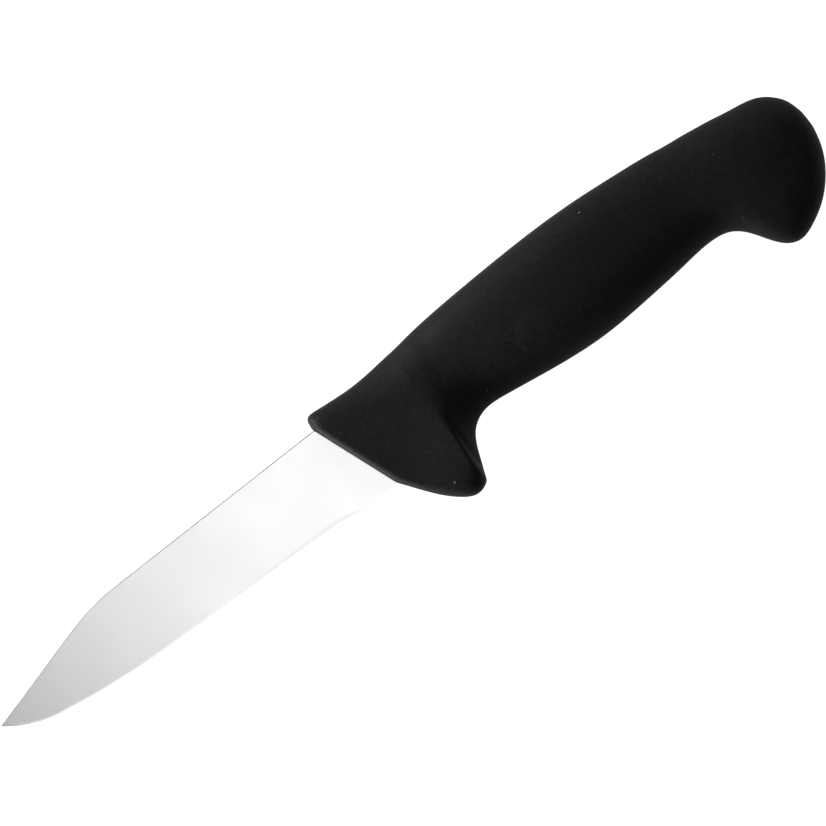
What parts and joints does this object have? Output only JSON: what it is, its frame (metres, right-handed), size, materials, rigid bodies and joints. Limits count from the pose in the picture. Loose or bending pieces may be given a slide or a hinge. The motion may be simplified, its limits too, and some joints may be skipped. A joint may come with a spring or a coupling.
{
  "type": "paring knife",
  "caption": "Paring knife: clip-pointed flat-ground blade whose hidden tang sits in a hard core under a soft moulded grip with a finger guard and a hooked butt.",
  "frame": {"origin": "on the middle plane of the blade, where its back leaves the handle", "axes": "+X along the straight back of the blade from the point to the butt, +Y from the edge to the back, +Z out of the knife's left side, so the knife lies on its right side"},
  "size_m": [0.2065, 0.0356, 0.0166],
  "materials": {
    "steel": "satin ground",
    "core": "moulded",
    "skin": "matte soft touch"
  },
  "bodies": {
    "root": {"blade": "steel", "handle_core": "core", "grip": "skin"}
  },
  "joints": []
}
